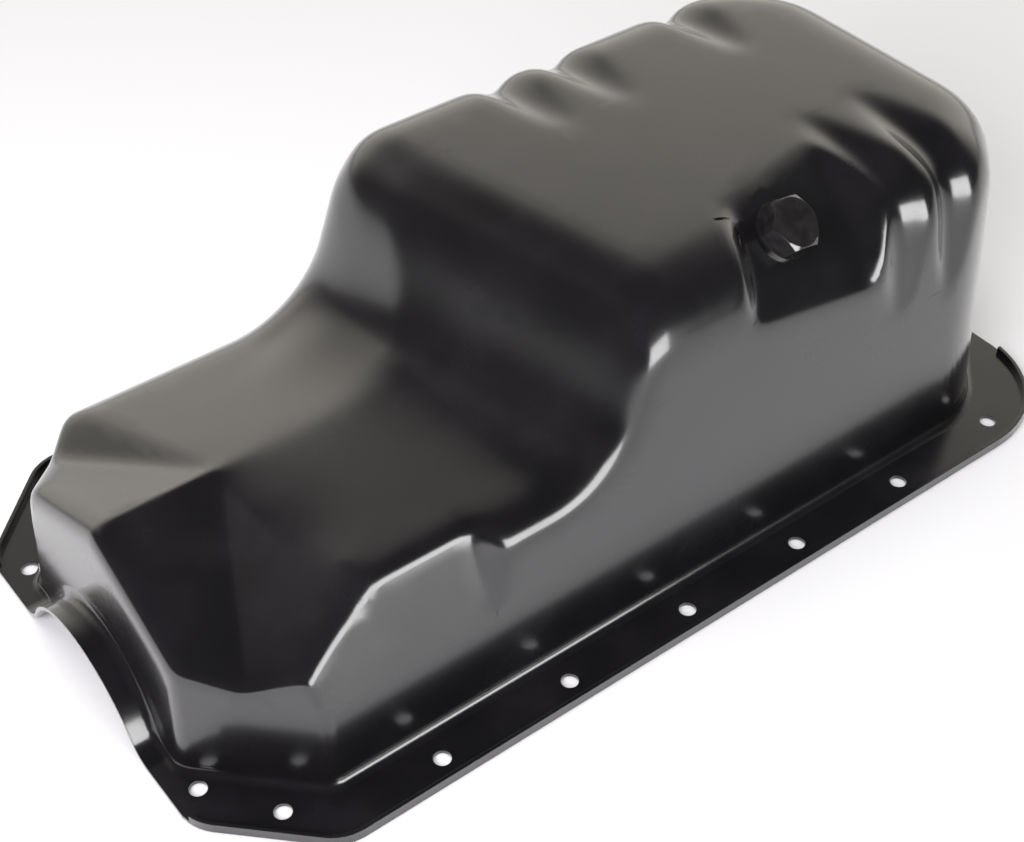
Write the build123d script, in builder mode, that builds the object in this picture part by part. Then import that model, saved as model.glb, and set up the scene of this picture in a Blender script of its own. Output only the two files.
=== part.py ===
from build123d import *
from math import cos, radians, sin, sqrt, tan
import os

os.makedirs("parts", exist_ok=True)

# All sizes in mm. X runs along the pan, the shallow end at -X; Y across it; Z up from the gasket face.
SHEET = 1.6

# Flange: the flat rim with its turned-up edge.
FLANGE_LENGTH = 430.0
FLANGE_WIDTH = 242.0
FLANGE_CHAMFER = 40.0
FLANGE_FRONT_ROUND = 20.0
FLANGE_REAR_ROUND = 49.0
LIP_HEIGHT = 4.4
LIP_END = 78.5

# Bolt holes, one side; the other side mirrors it.
HOLE_DIAMETER = 7.0
ROW_FIRST_X = -126.5
ROW_PITCH = 60.0
ROW_COUNT = 5
ROW_Y = 110.75
CORNER_HOLES = [(173.3, 108.05), (-185.5, 95.25)]
EAR_HOLES = [(-204.6, 68.15), (205.0, 62.0)]

# Seal seats: the half-round bridges at both ends, for the crankshaft seals.
SEAT_RADIUS = 45.0
SEAT_DROP = 14.0
SEAT_FOOT_ROUND = 12.0
SEAT_LENGTH = 25.0

# Drawn walls, measured where they would meet the gasket face.
WALL_HALF_WIDTH = 98.0
WALL_FRONT_X = -205.5
WALL_REAR_X = 209.0
FRONT_CORNER_Y = 57.5
REAR_CORNER_Y = 60.0
FRONT_CORNER_X = -165.0
REAR_CORNER_X = 171.0
DRAFT = 4.0
FRONT_CORNER_ROUND = 9.0
REAR_CORNER_ROUND = 45.0
FOOT_ROUND = 4.0

# Shallow floor: flat on the near side, falling away on the far side, with a roof-shaped front.
FLOOR_HEIGHT = 77.0
FLOOR_FALL = 0.235
ROOF_FALL = 0.40
ROOF_END_X = -148.0
ROOF_STEP_A = (-135.0, 80.0)
ROOF_STEP_B = (-165.0, 35.0, 63.0)
FRONT_EDGE_ROUND = 5.0
NEAR_SHOULDER_ROUND = 13.0
FAR_SHOULDER_ROUND = 28.0

# Deep sump and the sloping wall down to the shallow floor.
SUMP_HEIGHT = 140.0
SUMP_EDGE_ROUND = 30.0
STEP_X = -55.0
STEP_NEAR = (-36.0, -90.0)
STEP_FAR = (-60.0, 75.0)
STEP_NEAR_SLOPE = 67.0
STEP_FAR_SLOPE = 73.0
STEP_BASE_ROUND = 35.0

# Bay: a steep facet in the near shoulder.
BAY_X = -127.0
BAY_TOP_Y = 80.0
BAY_TILT = 22.0
BAY_LENGTH = 38.0
BAY_END_TAPER = 25.0

# Drain panel: a flat sunk into the near edge of the sump, carrying the drain hole.
PANEL = Plane(origin=(66.0, -72.0, 122.2), x_dir=(1, 0, -0.158), z_dir=(0.12, -0.64, 0.76))
PANEL_LEFT = -24.0
PANEL_RIGHT = 38.0
PANEL_WALL_TAPER = 15.0
PANEL_CORNER_ROUND = 12.0

# Drain: hole in the panel, threaded boss behind it, washer and plug.
PLUG_SEAT = PANEL.offset(0).shift_origin(PANEL.from_local_coords((4.0, 8.0, 0)))
DRAIN_HOLE = 18.5
DRAIN_THREAD = 18.0
THREAD_CLEARANCE = 0.1
BOSS_DIAMETER = 30.0
BOSS_DEPTH = 9.0
WASHER_DIAMETER = 25.0
WASHER_THICKNESS = 1.5
HEAD_ACROSS_FLATS = 21.0
HEAD_HEIGHT = 8.0
HEAD_TURN = 0.0
PLUG_SHANK = 14.0

# Flutes: grooves over the edges of the sump.
FLUTES_NEAR = (117.5, 146.5)
FLUTES_FAR = (38.0, 70.0, 135.0)
FLUTE_RADIUS = 13.0
FLUTE_DEPTH = 4.5
FLUTE_START_Y = 23.0
FLUTE_END_Z = 80.0

# Dimple in the shallow floor.
DIMPLE = (-99.0, 54.0)
DIMPLE_RADIUS = 10.0
DIMPLE_DEPTH = 1.2


def outside(point, normal):
    """Everything on the outer side of a plane."""
    plane = Plane(origin=Vector(*point), z_dir=Vector(*normal))
    return plane * Solid.make_box(1200, 1200, 600).moved(Location((-600, -600, 0)))


def sunk(point, normal, inset):
    """The point moved down by inset and along X, so that planes through it move in by about inset."""
    n = Vector(*normal)
    return (point[0] + inset * (1 - n.Z) / -n.X, point[1], point[2] - inset)


def normal_of(a, b, c, toward):
    """The normal of the plane through three points, on the side that faces toward."""
    n = (Vector(*b) - Vector(*a)).cross(Vector(*c) - Vector(*a)).normalized()
    return n if n.dot(Vector(*toward)) > 0 else n * -1


def closest(part, point):
    return part.edges().sort_by_distance(Vector(*point))[0]


def wall_y(z):
    return WALL_HALF_WIDTH - z * tan(radians(DRAFT))


def pressed_form(inset):
    """The drawn form as a solid: its outside with inset 0, its inside with the sheet thickness."""
    step = (STEP_X, 0, FLOOR_HEIGHT)
    rise = SUMP_HEIGHT - FLOOR_HEIGHT
    near_top = (STEP_X + rise / tan(radians(STEP_NEAR_SLOPE)), 0, SUMP_HEIGHT)
    far_top = (STEP_X + rise / tan(radians(STEP_FAR_SLOPE)), 0, SUMP_HEIGHT)
    step_near = normal_of(step, (*STEP_NEAR, FLOOR_HEIGHT), near_top, (-1, 0, 0))
    step_far = normal_of(step, (*STEP_FAR, FLOOR_HEIGHT), far_top, (-1, 0, 0))
    roof_end = (ROOF_END_X, 0, FLOOR_HEIGHT)
    ax, ay = ROOF_STEP_A
    bx, by, bz = ROOF_STEP_B
    roof_near = normal_of(roof_end, (ax, -ay, FLOOR_HEIGHT), (bx, -by, bz), (-1, 0, 0))
    roof_far = Vector(roof_near.X, -roof_near.Y, roof_near.Z)
    step = sunk(step, step_near, inset)
    roof_end = sunk(roof_end, roof_near, inset)
    with BuildPart() as form:
        with BuildSketch():
            with BuildLine():
                Polyline(
                    (STEP_X - 60, -WALL_HALF_WIDTH), (REAR_CORNER_X, -WALL_HALF_WIDTH),
                    (WALL_REAR_X, -REAR_CORNER_Y), (WALL_REAR_X, REAR_CORNER_Y),
                    (REAR_CORNER_X, WALL_HALF_WIDTH), (STEP_X - 60, WALL_HALF_WIDTH), close=True,
                )
            make_face()
            if inset:
                offset(amount=-inset, kind=Kind.INTERSECTION, mode=Mode.REPLACE)
        extrude(amount=SUMP_HEIGHT - inset, taper=DRAFT)
        add(outside(step, step_near), mode=Mode.SUBTRACT)
        add(outside(step, step_far), mode=Mode.SUBTRACT)
        with BuildSketch():
            with BuildLine():
                Polyline(
                    (FRONT_CORNER_X, -WALL_HALF_WIDTH), (-STEP_X, -WALL_HALF_WIDTH),
                    (-STEP_X, WALL_HALF_WIDTH), (FRONT_CORNER_X, WALL_HALF_WIDTH),
                    (WALL_FRONT_X, FRONT_CORNER_Y), (WALL_FRONT_X, -FRONT_CORNER_Y), close=True,
                )
            make_face()
            if inset:
                offset(amount=-inset, kind=Kind.INTERSECTION, mode=Mode.REPLACE)
        walls = extrude(amount=FLOOR_HEIGHT + 20, taper=DRAFT, mode=Mode.PRIVATE)
        block = Solid.make_box(400, 400, 200).moved(Location((-300, -200, -50)))
        roof = block - outside(roof_end, (0, -ROOF_FALL, 1)) - outside(roof_end, (0, ROOF_FALL, 1))
        floor = block - outside(step, (0, 0, 1)) - outside(step, (0, FLOOR_FALL, 1))
        floor = floor - outside(roof_end, roof_near) - outside(roof_end, roof_far)
        add(walls & (roof + floor))
    part = form.part
    z = FLOOR_HEIGHT - inset
    mid = (FRONT_CORNER_Y + WALL_HALF_WIDTH) / 2
    # Hollow fillet at the foot of the step, then the upright corners, the top and the shoulders.
    part = part.fillet(STEP_BASE_ROUND + inset, [
        closest(part, (STEP_X + 10, -45, z)), closest(part, (STEP_X - 6, 45, z - 11)),
    ])
    rear = (WALL_REAR_X + REAR_CORNER_X) / 2
    part = part.fillet(REAR_CORNER_ROUND - inset, [
        closest(part, (x, side * y, 70))
        for side in (-1, 1)
        for x, y in ((REAR_CORNER_X, wall_y(70)), (WALL_REAR_X - 5, REAR_CORNER_Y))
    ])
    top = SUMP_HEIGHT - inset
    part = part.fillet(SUMP_EDGE_ROUND - inset, [
        closest(part, (80, -wall_y(top), top)),
        closest(part, (near_top[0], -20, top)),
        closest(part, (far_top[0] - 5, 70, top)),
    ])
    part = part.fillet(NEAR_SHOULDER_ROUND - inset, closest_list(part, (STEP_X - 35, -wall_y(z), z)))
    far_z = z - FLOOR_FALL * wall_y(z)
    part = part.fillet(FAR_SHOULDER_ROUND - inset, closest_list(part, (STEP_X - 55, wall_y(far_z), far_z)))
    part = part.fillet(FRONT_CORNER_ROUND - inset, [
        closest(part, (x, side * y, 25))
        for side in (-1, 1)
        for x, y in ((FRONT_CORNER_X, WALL_HALF_WIDTH - 2), (WALL_FRONT_X + 2, FRONT_CORNER_Y))
    ])
    edge = z - ROOF_FALL * 28
    part = part.fillet(FRONT_EDGE_ROUND - inset, [
        closest(part, (WALL_FRONT_X + 4.5, -28, edge)), closest(part, (WALL_FRONT_X + 4.5, 28, edge)),
        closest(part, (-192, -66, 50)), closest(part, (-192, 66, 50)),
        closest(part, (-175, -83, 52)), closest(part, (-180, 77, 48)),
    ])
    return part - bay(inset) - panel_pocket(inset) - flutes(inset) - dimple(inset)


def closest_list(part, point):
    return [closest(part, point)]


def bay(inset):
    """The steep flat facet pressed into the near shoulder of the shallow end."""
    frame = Plane(
        origin=(BAY_X, -BAY_TOP_Y, FLOOR_HEIGHT),
        x_dir=(1, 0, 0),
        z_dir=(0, -cos(radians(BAY_TILT)), sin(radians(BAY_TILT))),
    ).offset(-inset)
    with BuildPart() as tool:
        with BuildSketch(frame):
            with BuildLine():
                Polyline(
                    (-BAY_LENGTH - inset, -90), (BAY_LENGTH + inset, -90), (BAY_LENGTH + inset, 40),
                    (-BAY_LENGTH - inset, 40), close=True,
                )
            make_face()
        extrude(amount=60, taper=-BAY_END_TAPER)
    return tool.part


def panel_pocket(inset):
    """The flat drain panel sunk into the near edge of the sump."""
    with BuildPart() as tool:
        with BuildSketch(PANEL.offset(-inset)):
            with BuildLine():
                Polyline(
                    (PANEL_LEFT - inset - 12, -50), (PANEL_RIGHT + inset, -50),
                    (PANEL_RIGHT + inset, 60), (PANEL_LEFT - inset + 16, 60), close=True,
                )
            make_face()
        extrude(amount=60, taper=-PANEL_WALL_TAPER)
        fillet(tool.edges().filter_by(Axis.Z, reverse=True).sort_by_distance(
            PANEL.from_local_coords((PANEL_RIGHT, 60, 30)))[0], PANEL_CORNER_ROUND + inset)
    return tool.part


def flutes(inset):
    """The shallow grooves that run down over the edges of the sump."""
    y0 = wall_y(SUMP_HEIGHT) - SUMP_EDGE_ROUND * tan(radians(45 - DRAFT / 2))
    z0 = SUMP_HEIGHT - SUMP_EDGE_ROUND
    lift = FLUTE_RADIUS - FLUTE_DEPTH
    reach = (SUMP_EDGE_ROUND + lift) * sqrt(0.5)
    with BuildPart() as tool:
        for side, places in ((-1, FLUTES_NEAR), (1, FLUTES_FAR)):
            for x in places:
                points = [
                    (x, side * FLUTE_START_Y, SUMP_HEIGHT + FLUTE_RADIUS + 0.4),
                    (x, side * (y0 - 6), SUMP_HEIGHT + lift + 0.5),
                    (x, side * (y0 + reach), z0 + reach),
                    (x, side * (wall_y(z0 - 6) + lift + 0.5), z0 - 6),
                    (x, side * (wall_y(FLUTE_END_Z) + FLUTE_RADIUS + 0.4), FLUTE_END_Z),
                ]
                with BuildLine() as path:
                    Spline(*points)
                with BuildSketch(Plane(origin=points[0], z_dir=path.line % 0)):
                    Circle(FLUTE_RADIUS + inset)
                sweep(path=path.line)
    return tool.part


def dimple(inset):
    """The small dent in the shallow floor."""
    x, y = DIMPLE
    z = FLOOR_HEIGHT - FLOOR_FALL * y
    lift = DIMPLE_RADIUS - DIMPLE_DEPTH
    return Solid.make_sphere(DIMPLE_RADIUS + inset).moved(Location((x, y, z + lift)))


def seat_profile(inset):
    """The half-round bridge seen from the end, with its rounded feet."""
    floor = SHEET - inset
    with BuildSketch() as profile:
        with Locations((0, -SEAT_DROP)):
            Circle(SEAT_RADIUS - inset)
        with Locations((0, floor - 40)):
            Rectangle(2 * SEAT_RADIUS + 60, 80)
        feet = profile.vertices().filter_by(lambda v: abs(v.Y - floor) < 0.01 and abs(v.X) < SEAT_RADIUS)
        fillet(feet, SEAT_FOOT_ROUND + inset)
    return profile.sketch_local


def flange_outline(inset):
    half_l, half_w = FLANGE_LENGTH / 2, FLANGE_WIDTH / 2
    with BuildSketch() as outline:
        with BuildLine():
            Polyline(
                (-half_l + FLANGE_CHAMFER, -half_w), (half_l, -half_w), (half_l, half_w),
                (-half_l + FLANGE_CHAMFER, half_w), (-half_l, half_w - FLANGE_CHAMFER),
                (-half_l, -half_w + FLANGE_CHAMFER), close=True,
            )
        make_face()
        fillet(outline.vertices().group_by(Axis.X)[-1], FLANGE_REAR_ROUND)
        fillet(outline.vertices().filter_by(lambda v: v.X < 0), FLANGE_FRONT_ROUND)
        if inset:
            offset(amount=-inset, mode=Mode.REPLACE)
    return outline.sketch_local


# The pan: one piece of sheet steel, drawn, trimmed and pierced.
form_outside = pressed_form(0)
form_inside = pressed_form(SHEET)
HOLES = [(ROW_FIRST_X + i * ROW_PITCH, ROW_Y) for i in range(ROW_COUNT)] + CORNER_HOLES + EAR_HOLES
with BuildPart() as pan:
    with BuildSketch():
        add(flange_outline(0))
    extrude(amount=SHEET)
    for end in (-1, 1):
        with BuildSketch(Plane.YZ.offset(end * FLANGE_LENGTH / 2)):
            add(seat_profile(0))
        extrude(amount=-end * SEAT_LENGTH)
    add(form_outside)
    # Below the gasket face nothing is left of the round seats.
    with BuildSketch():
        Rectangle(FLANGE_LENGTH + 40, FLANGE_WIDTH + 40)
    extrude(amount=-120, mode=Mode.SUBTRACT)
    foot = closest(pan, (0, -wall_y(SHEET), SHEET))
    fillet(foot, FOOT_ROUND)
    add(form_inside, mode=Mode.SUBTRACT)
    for end in (-1, 1):
        with BuildSketch(Plane.YZ.offset(end * (FLANGE_LENGTH / 2 + 1))):
            add(seat_profile(SHEET))
        extrude(amount=-end * (SEAT_LENGTH + 1), mode=Mode.SUBTRACT)
    # The turned-up edge stops short of the ears.
    with BuildSketch(Plane.XY.offset(SHEET)):
        add(flange_outline(0))
        add(flange_outline(SHEET), mode=Mode.SUBTRACT)
        Rectangle(FLANGE_LENGTH + 40, 2 * LIP_END, mode=Mode.SUBTRACT)
    extrude(amount=LIP_HEIGHT - SHEET)
    with BuildSketch():
        with Locations(*[(x, side * y) for side in (-1, 1) for x, y in HOLES]):
            Circle(HOLE_DIAMETER / 2)
    extrude(amount=SHEET, mode=Mode.SUBTRACT)
    with BuildSketch(PLUG_SEAT):
        Circle(DRAIN_HOLE / 2)
    extrude(amount=-SHEET * 3, mode=Mode.SUBTRACT)
pan.part.label = "pan"
export_step(pan.part, "parts/pan.step")

# Drain boss: a threaded ring welded inside, behind the drain hole.
with BuildPart() as drain_boss:
    with BuildSketch(PLUG_SEAT.offset(-SHEET)):
        Circle(BOSS_DIAMETER / 2)
        Circle(DRAIN_THREAD / 2 + THREAD_CLEARANCE, mode=Mode.SUBTRACT)
    extrude(amount=-BOSS_DEPTH)
    chamfer(drain_boss.edges().sort_by_distance(PLUG_SEAT.origin)[-1], 1.0)
drain_boss.part.label = "drain_boss"
export_step(drain_boss.part, "parts/drain_boss.step")

# Washer: a flat sealing ring between the plug's head and the panel.
with BuildPart() as drain_washer:
    with BuildSketch(PLUG_SEAT):
        Circle(WASHER_DIAMETER / 2)
        Circle(DRAIN_HOLE / 2, mode=Mode.SUBTRACT)
    extrude(amount=WASHER_THICKNESS)
drain_washer.part.label = "drain_washer"
export_step(drain_washer.part, "parts/drain_washer.step")

# Plug: a hexagon head on a plain shank of the thread's size.
HEAD_PLANE = PLUG_SEAT.offset(WASHER_THICKNESS)
with BuildPart() as drain_plug:
    with BuildSketch(HEAD_PLANE):
        RegularPolygon(HEAD_ACROSS_FLATS / 2, 6, major_radius=False, rotation=HEAD_TURN)
    extrude(amount=HEAD_HEIGHT)
    # The corners of the head are turned off at 30 degrees.
    with BuildSketch(HEAD_PLANE):
        Circle(HEAD_ACROSS_FLATS / 2 - 0.4 + HEAD_HEIGHT / tan(radians(30)))
    extrude(amount=HEAD_HEIGHT, taper=60, mode=Mode.INTERSECT)
    with BuildSketch(HEAD_PLANE):
        Circle(DRAIN_THREAD / 2)
    extrude(amount=-PLUG_SHANK)
    chamfer(drain_plug.edges().filter_by(GeomType.CIRCLE).sort_by_distance(
        HEAD_PLANE.from_local_coords((0, 0, -PLUG_SHANK)))[0], 1.2)
drain_plug.part.label = "drain_plug"
export_step(drain_plug.part, "parts/drain_plug.step")
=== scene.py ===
import math

import bmesh
import bpy
import numpy as np
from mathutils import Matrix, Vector
from mathutils.bvhtree import BVHTree


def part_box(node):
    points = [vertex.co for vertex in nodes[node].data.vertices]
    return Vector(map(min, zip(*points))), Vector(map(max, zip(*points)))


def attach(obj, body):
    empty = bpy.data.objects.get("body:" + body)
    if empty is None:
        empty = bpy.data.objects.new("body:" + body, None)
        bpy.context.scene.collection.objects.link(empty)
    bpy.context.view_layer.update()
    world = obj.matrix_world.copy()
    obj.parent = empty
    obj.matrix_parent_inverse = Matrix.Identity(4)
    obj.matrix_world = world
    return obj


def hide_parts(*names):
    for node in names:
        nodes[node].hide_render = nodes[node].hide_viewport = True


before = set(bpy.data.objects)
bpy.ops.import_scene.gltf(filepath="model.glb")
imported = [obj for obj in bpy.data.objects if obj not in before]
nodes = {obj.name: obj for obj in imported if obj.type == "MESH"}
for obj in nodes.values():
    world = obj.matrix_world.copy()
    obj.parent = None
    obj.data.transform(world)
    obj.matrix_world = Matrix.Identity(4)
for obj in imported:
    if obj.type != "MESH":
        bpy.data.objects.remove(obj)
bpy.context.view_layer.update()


# The camera stands at the front near corner of the pan, a little over half a metre up,
# and looks down along the sump, as in the photograph.
camera_data = bpy.data.cameras.new("photo camera")
camera_data.lens = 62.56
camera_data.sensor_width = 36.0
camera_data.clip_end = 50.0
camera = bpy.data.objects.new("photo camera", camera_data)
camera.location = (-0.349, -0.4443, 0.533)
camera.rotation_euler = Vector((0.449, 0.588, -0.673)).to_track_quat("-Z", "Y").to_euler()
bpy.context.scene.collection.objects.link(camera)
bpy.context.scene.camera = camera
bpy.context.scene.view_settings.view_transform = "Standard"


# The pan: one deep drawing of sheet steel, trimmed, pierced and bent up at the rim, and bolted
# to the engine by its flange. The press rounds every crease, which the solid keeps sharp, so the
# steel above the seats is laid on a smoothed net of points, found by rays from inside.
# The rays start at this height, in lines across the pan that fan out beyond both fan positions.
RAY_HEIGHT = 0.036
FRONT_FAN, REAR_FAN = -0.150, 0.120
FRONT_LINES, MIDDLE_LINES, REAR_LINES, STEPS = 66, 204, 126, 300
PAST_THE_WALL = 1e-4
WELD = 1e-5
PLACES_PER_METRE = 2e4

# Smoothing rounds creases everywhere, and more so the shallow floor's ridge. It fades out
# toward the seats and the drain hole.
CREASE_ROUNDS, CREASE_SHARE = 18, 0.8
RIDGE_ROUNDS, RIDGE_SHARE = 330, 0.9
NET_FREE = (RAY_HEIGHT + 0.002, RAY_HEIGHT + 0.014)
NET_CLEAR_OF_HOLE = (0.016, 0.022)
RIDGE_HEIGHT = (0.058, 0.066)
RIDGE_HALF_WIDTH, RIDGE_SIDE_FADE = 0.070, 0.030
RIDGE_FRONT, RIDGE_BACK = (-0.150, -0.130), (0.060, 0.085)

# The mesh's longest edges, the shift of the net that counts as bent, and where it is laid.
FLAT_EDGE, BENT_EDGE = 0.012, 0.0048
BEND = 0.00025
SPLITS = 10
LAID_ABOVE = RAY_HEIGHT + 0.001
LAID_FULLY = RAY_HEIGHT + 0.008
LAID_CLEAR_OF_HOLE = (0.015, 0.019)

pan = nodes["pan"]
drawn = bmesh.new()
drawn.from_mesh(pan.data)
bmesh.ops.remove_doubles(drawn, verts=drawn.verts, dist=WELD)
rays = BVHTree.FromBMesh(drawn)
tilts = np.concatenate([
    np.linspace(math.pi / 2, 0, FRONT_LINES, endpoint=False),
    np.zeros(MIDDLE_LINES),
    np.linspace(0, math.pi / 2, REAR_LINES + 1)[1:],
])
starts = np.concatenate([
    np.full(FRONT_LINES, FRONT_FAN),
    np.linspace(FRONT_FAN, REAR_FAN, MIDDLE_LINES),
    np.full(REAR_LINES, REAR_FAN),
])
signs = np.where(np.arange(len(tilts)) < FRONT_LINES, -1.0, 1.0)
turns = np.linspace(0, math.pi, STEPS + 1)
inner = np.full((len(tilts), STEPS + 1, 3), math.nan)
outer = np.full((len(tilts), STEPS + 1, 3), math.nan)
for i, (tilt, start, sign) in enumerate(zip(tilts, starts, signs)):
    for j, turn in enumerate(turns):
        out = math.sin(turn)
        way = Vector((sign * math.sin(tilt) * out, -math.cos(turn), math.cos(tilt) * out))
        first = rays.ray_cast(Vector((start, 0, RAY_HEIGHT)), way)[0]
        second = rays.ray_cast(first + way * PAST_THE_WALL, way)[0] if first else None
        if second:
            inner[i, j] = first
            outer[i, j] = second
    # Rays that leave through the drain hole are filled in straight across it.
    for net in (inner[i], outer[i]):
        met = ~np.isnan(net[:, 0])
        for axis in range(3):
            net[:, axis] = np.interp(turns, turns[met], net[met, axis])


def ramp(value, low, high):
    """0 below low, 1 above high, smooth in between."""
    part = np.clip((value - low) / (high - low), 0, 1)
    return part * part * (3 - 2 * part)


def soften(net, rounds, share):
    """Moves each knot of the net toward the mean of its four neighbours, by its share."""
    for _ in range(rounds):
        mean = (net[:-2, 1:-1] + net[2:, 1:-1] + net[1:-1, :-2] + net[1:-1, 2:]) / 4
        net[1:-1, 1:-1] += share[1:-1, 1:-1, None] * (mean - net[1:-1, 1:-1])


def knot(place):
    """The net's coordinates of points above the ray height."""
    x, y, z = place.T
    lift = np.maximum(z - RAY_HEIGHT, 1e-9)
    ahead, behind = FRONT_FAN - x, x - REAR_FAN
    beyond = np.maximum(np.maximum(ahead, behind), 0)
    tilt = np.arctan2(beyond, lift) / (math.pi / 2)
    i = FRONT_LINES + (x - FRONT_FAN) / (REAR_FAN - FRONT_FAN) * (MIDDLE_LINES - 1)
    i = np.where(ahead > 0, FRONT_LINES * (1 - tilt), i)
    i = np.where(behind > 0, FRONT_LINES + MIDDLE_LINES - 1 + REAR_LINES * tilt, i)
    j = np.arctan2(np.hypot(beyond, lift), -y) / math.pi * STEPS
    return i, j


def between_knots(a, b, c, d, t):
    """The cubic through b and c, with the slopes that a and d give it."""
    return b + t * (c - a + t * (2 * a - 5 * b + 4 * c - d + t * (3 * (b - c) + d - a))) / 2


def on_net(net, i, j):
    """Points of the net between its knots, by cubic interpolation both ways."""
    rows, columns = net.shape[0] - 1, net.shape[1] - 1
    i0 = np.clip(np.floor(i).astype(int), 0, rows - 1)
    j0 = np.clip(np.floor(j).astype(int), 0, columns - 1)
    ti, tj = (i - i0)[:, None], (j - j0)[:, None]
    lines = []
    for di in (-1, 0, 1, 2):
        ii = np.clip(i0 + di, 0, rows)
        row = [net[ii, np.clip(j0 + dj, 0, columns)] for dj in (-1, 0, 1, 2)]
        lines.append(between_knots(*row, tj))
    return between_knots(*lines, ti)


low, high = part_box("drain_washer")
hole = np.array((low + high) / 2)
sharp_inner, sharp_outer = inner.copy(), outer.copy()
# The outside is smoothed, and the inside takes the same shift, so the sheet keeps its thickness.
x, y, z = outer.copy().transpose(2, 0, 1)
clear = ramp(z, *NET_FREE)
clear *= ramp(np.linalg.norm(outer - hole, axis=2), *NET_CLEAR_OF_HOLE)
soften(outer, CREASE_ROUNDS, CREASE_SHARE * clear)
ridge = ramp(z, *RIDGE_HEIGHT) * ramp(RIDGE_HALF_WIDTH - np.abs(y), 0, RIDGE_SIDE_FADE)
ridge *= ramp(-x, *RIDGE_BACK)
soften(outer, RIDGE_ROUNDS, RIDGE_SHARE * clear * ridge * ramp(x, *RIDGE_FRONT))
inner += outer - sharp_outer

# Where the net bends, the mesh gets short edges.
for _ in range(SPLITS):
    place = np.array([v.co for v in drawn.verts], float)
    i, j = knot(place)
    bent = np.linalg.norm(on_net(outer, i, j) - on_net(sharp_outer, i, j), axis=1) > BEND
    bent &= place[:, 2] > RAY_HEIGHT
    drawn.verts.index_update()
    long_edges = []
    for edge in drawn.edges:
        first, second = edge.verts
        if max(first.co.z, second.co.z) > RAY_HEIGHT:
            limit = BENT_EDGE if bent[first.index] or bent[second.index] else FLAT_EDGE
            if edge.calc_length() > limit:
                long_edges.append(edge)
    bmesh.ops.subdivide_edges(drawn, edges=long_edges, cuts=1)
    wide = [face for face in drawn.faces if len(face.verts) > 3]
    bmesh.ops.triangulate(drawn, faces=wide, quad_method="SHORT_EDGE", ngon_method="BEAUTY")
pan_mesh = bpy.data.meshes.new("drawn_pan")
drawn.to_mesh(pan_mesh)
drawn.free()

place = np.array([v.co for v in pan_mesh.vertices], float)
above = place[:, 2] > LAID_ABOVE
old = place[above]
i, j = knot(old)
gaps = [np.linalg.norm(on_net(net, i, j) - old, axis=1) for net in (sharp_inner, sharp_outer)]
on_outer = gaps[1] < gaps[0]
laid, laid_normals = old.copy(), np.zeros_like(old)
for net, chosen, sign in ((inner, ~on_outer, -1.0), (outer, on_outer, 1.0)):
    ci, cj = i[chosen], j[chosen]
    laid[chosen] = on_net(net, ci, cj)
    over_i = on_net(net, ci + 0.5, cj) - on_net(net, ci - 0.5, cj)
    over_j = on_net(net, ci, cj + 0.5) - on_net(net, ci, cj - 0.5)
    away = old[chosen].copy()
    away[:, 0] -= np.clip(away[:, 0], FRONT_FAN, REAR_FAN)
    across = np.cross(over_i, over_j)
    across *= sign * np.sign(np.sum(across * away, axis=1))[:, None]
    laid_normals[chosen] = across / (np.linalg.norm(across, axis=1)[:, None] + 1e-12)
hold = ramp(old[:, 2], LAID_ABOVE, LAID_FULLY)
hold *= ramp(np.linalg.norm(old - hole, axis=1), *LAID_CLEAR_OF_HOLE)
place[above] = old + hold[:, None] * (laid - old)


def key(corner):
    """The corner's place, rounded so that both meshes agree on it."""
    return tuple(round(c * PLACES_PER_METRE) for c in corner)


# Faces that are not laid on the net keep the solid's own normals.
solid_normals = {}
for face in pan.data.polygons:
    for loop in face.loop_indices:
        corner = pan.data.vertices[pan.data.loops[loop].vertex_index].co
        pair = (face.normal.copy(), pan.data.corner_normals[loop].vector)
        solid_normals.setdefault(key(corner), []).append(pair)
normals = np.zeros_like(place)
normals[above] = np.where(hold[:, None] > 0.9, laid_normals, 0.0)
corner_normals = []
for face in pan_mesh.polygons:
    for vertex in face.vertices:
        normal = normals[vertex]
        if not normal.any():
            normal = face.normal
            known = solid_normals.get(key(pan_mesh.vertices[vertex].co))
            if known:
                normal = max(known, key=lambda pair: pair[0].dot(face.normal))[1]
        corner_normals.append(tuple(normal))
pan_mesh.vertices.foreach_set("co", place.astype(np.float32).ravel())
pan_mesh.update()
pan_mesh.shade_smooth()
pan_mesh.normals_split_custom_set(corner_normals)
drawn_pan = bpy.data.objects.new("drawn_pan", pan_mesh)
bpy.context.scene.collection.objects.link(drawn_pan)
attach(drawn_pan, "root")
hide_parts("pan")


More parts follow.
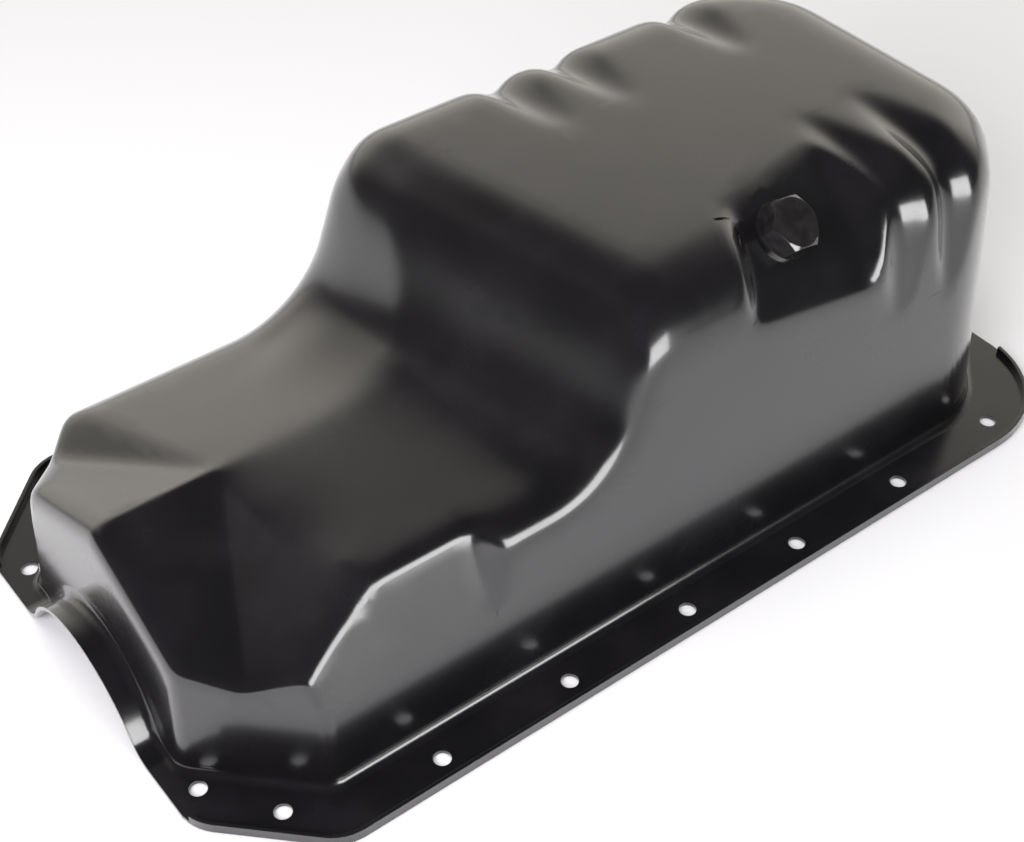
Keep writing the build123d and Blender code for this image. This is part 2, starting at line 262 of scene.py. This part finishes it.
# The pan's finish: a dip of gloss black enamel, thick and smooth,
# with a faint orange peel and a rounded run at every edge.
class Signal:
    """One socket of a node tree, so that shader maths reads as plain maths."""

    def __init__(self, tree, socket):
        self.tree = tree
        self.socket = socket

    def node(self, kind, settings=None, values=None, out=0):
        made = self.tree.nodes.new(kind)
        for name, value in (settings or {}).items():
            setattr(made, name, value)
        for name, value in (values or {}).items():
            socket = made.inputs[name]
            if isinstance(value, Signal):
                self.tree.links.new(value.socket, socket)
            else:
                socket.default_value = value
        return Signal(self.tree, made.outputs[out])

    def math(self, operation, first, second=0.0):
        return self.node("ShaderNodeMath", {"operation": operation}, {0: first, 1: second})

    def __add__(self, other):
        return self.math("ADD", self, other)

    def __radd__(self, other):
        return self.math("ADD", other, self)

    def __sub__(self, other):
        return self.math("SUBTRACT", self, other)

    def __rsub__(self, other):
        return self.math("SUBTRACT", other, self)

    def __mul__(self, other):
        return self.math("MULTIPLY", self, other)

    def __rmul__(self, other):
        return self.math("MULTIPLY", other, self)

    def between(self, low, high):
        """0 below low, 1 above high, smooth in between."""
        settings = {"interpolation_type": "SMOOTHSTEP"}
        return self.node("ShaderNodeMapRange", settings, {"Value": self, 1: low, 2: high})

    def blend(self, first, second):
        """The colour first where this signal is 0, second where it is 1."""
        sockets = {0: self, 6: first, 7: second}
        return self.node("ShaderNodeMix", {"data_type": "RGBA"}, sockets, out=2)


def new_finish(name):
    """A new material, its Principled shader, and a signal of the place in metres."""
    finish = bpy.data.materials.new(name)
    finish.use_nodes = True
    tree = finish.node_tree
    shader = tree.nodes["Principled BSDF"]
    coordinates = tree.nodes.new("ShaderNodeTexCoord")
    return finish, shader, Signal(tree, coordinates.outputs["Object"])


def connect(shader, **sockets):
    """Sets or links the shader's sockets; an underscore in a name stands for a space."""
    for name, value in sockets.items():
        socket = shader.inputs[name.replace("_", " ")]
        if isinstance(value, Signal):
            value.tree.links.new(value.socket, socket)
        else:
            socket.default_value = value


enamel, shader, place = new_finish("gloss black enamel")
peel = place.node("ShaderNodeTexNoise", None, {"Vector": place, "Scale": 260.0, "Detail": 2.0})
waves = place.node("ShaderNodeTexNoise", None, {"Vector": place, "Scale": 18.0, "Detail": 1.0})
cloud = place.node("ShaderNodeTexNoise", None, {"Vector": place, "Scale": 30.0, "Detail": 5.0})
rim_edge = place.node("ShaderNodeBevel", {"samples": 8}, {"Radius": 0.0008})
skin = place.node(
    "ShaderNodeBump", None,
    {"Distance": 0.001, "Height": peel * 0.012 + waves * 0.16, "Normal": rim_edge},
)
connect(
    shader,
    Base_Color=cloud.between(0.3, 0.8).blend(
        (0.006, 0.0055, 0.0065, 1.0), (0.012, 0.011, 0.013, 1.0)
    ),
    Roughness=0.24 + cloud.between(0.4, 0.9) * 0.08,
    Normal=skin,
    IOR=1.5,
    Coat_Weight=1.0,
    Coat_Roughness=0.15,
    Coat_IOR=1.5,
)
pan_mesh.materials.clear()
pan_mesh.materials.append(enamel)


# The boss inside the sump: a turned steel nut, projection-welded round the drain hole.
# It takes the same dip of enamel, over a turned surface.
boss_coat, shader, place = new_finish("enamel on turned steel")
turning = place.node("ShaderNodeTexNoise", None, {"Vector": place, "Scale": 500.0, "Detail": 2.0})
connect(
    shader,
    Base_Color=(0.014, 0.013, 0.015, 1.0),
    Roughness=0.18 + turning * 0.15,
    Normal=place.node("ShaderNodeBump", None, {"Distance": 0.0003, "Height": turning}),
    Coat_Weight=0.6,
    Coat_Roughness=0.10,
)
for slot in nodes["drain_boss"].material_slots:
    slot.material = boss_coat


# The drain washer: a flat ring of soft metal under the plug's head, enamelled with the pan.
washer_coat, shader, place = new_finish("enamelled washer")
mottle = place.node("ShaderNodeTexNoise", None, {"Vector": place, "Scale": 220.0, "Detail": 4.0})
connect(
    shader,
    Base_Color=mottle.between(0.35, 0.75).blend(
        (0.012, 0.011, 0.012, 1.0), (0.022, 0.020, 0.021, 1.0)
    ),
    Roughness=0.16 + mottle * 0.18,
    Normal=place.node("ShaderNodeBump", None, {"Distance": 0.0003, "Height": mottle}),
    Coat_Weight=0.8,
    Coat_Roughness=0.08,
    Coat_IOR=1.6,
)
for slot in nodes["drain_washer"].material_slots:
    slot.material = washer_coat


# The drain plug: a forged and turned hexagon-head screw, tightened against the washer.
plug_coat, shader, place = new_finish("enamelled plug")
mottle = place.node("ShaderNodeTexNoise", None, {"Vector": place, "Scale": 180.0, "Detail": 4.0})
soft_edge = place.node("ShaderNodeBevel", {"samples": 8}, {"Radius": 0.0006})
connect(
    shader,
    Base_Color=mottle.between(0.35, 0.75).blend(
        (0.012, 0.011, 0.012, 1.0), (0.024, 0.021, 0.022, 1.0)
    ),
    Roughness=0.14 + mottle * 0.20,
    Normal=place.node(
        "ShaderNodeBump", None, {"Distance": 0.0004, "Height": mottle, "Normal": soft_edge}
    ),
    Coat_Weight=0.8,
    Coat_Roughness=0.08,
    Coat_IOR=1.6,
)
for slot in nodes["drain_plug"].material_slots:
    slot.material = plug_coat


# The studio: a plain white floor just clear of the flange, a room that is pale low down and
# darkens overhead and toward the near side, broad lamps above and in front, and a low strip lamp
# at the near side that only reflections show.
FLOOR_HALF, FLOOR_Z = 9.0, -0.0003

floor_mesh = bpy.data.meshes.new("floor")
corners = [
    (x * FLOOR_HALF, y * FLOOR_HALF, FLOOR_Z) for x, y in ((-1, -1), (1, -1), (1, 1), (-1, 1))
]
floor_mesh.from_pydata(corners, [], [(0, 1, 2, 3)])
floor = bpy.data.objects.new("floor", floor_mesh)
bpy.context.scene.collection.objects.link(floor)
paper, shader, _ = new_finish("white paper")
connect(shader, Base_Color=(0.90, 0.90, 0.90, 1.0), Roughness=0.9, Specular_IOR_Level=0.1)
floor_mesh.materials.append(paper)

room = bpy.data.worlds.new("room")
room.use_nodes = True
bpy.context.scene.world = room
direction = room.node_tree.nodes.new("ShaderNodeTexCoord")
looking = Signal(room.node_tree, direction.outputs["Generated"])
to_rear, to_far, up = (
    looking.node("ShaderNodeSeparateXYZ", None, {0: looking}, out=axis) for axis in "XYZ"
)
lit = (1 - up.between(0.40, 0.92)) * (0.03 + 0.97 * to_far.between(-0.35, 0.25))
lit = lit * (0.05 + 0.95 * to_rear.between(-0.75, -0.15))
glow = lit.blend((0.03, 0.03, 0.033, 1.0), (1.05, 1.0, 0.90, 1.0))
background = room.node_tree.nodes["Background"]
room.node_tree.links.new(glow.socket, background.inputs["Color"])


def area_lamp(name, place, target, size, watts, colour=(1.0, 1.0, 1.0)):
    """A rectangular lamp at a place, facing a target."""
    data = bpy.data.lights.new(name, "AREA")
    data.shape = "RECTANGLE"
    data.size, data.size_y = size
    data.energy = watts
    data.color = colour
    lamp = bpy.data.objects.new(name, data)
    lamp.location = place
    lamp.rotation_euler = (Vector(target) - Vector(place)).to_track_quat("-Z", "Y").to_euler()
    bpy.context.scene.collection.objects.link(lamp)
    return lamp


overhead = area_lamp("overhead lamp", (0.1, 0.0, 2.4), (0, 0, 0), (2.4, 2.4), 42.0)
overhead.visible_glossy = False
front = area_lamp(
    "front lamp", (-0.95, -0.45, 0.75), (-0.35, -0.1, 0), (0.7, 0.7), 16.0, (0.98, 0.95, 1.0)
)
front.visible_glossy = False
strip = area_lamp("strip lamp", (0.08, -1.05, 0.24), (0.0, -0.10, 0.14), (0.8, 0.42), 9.0)
strip.visible_diffuse = False
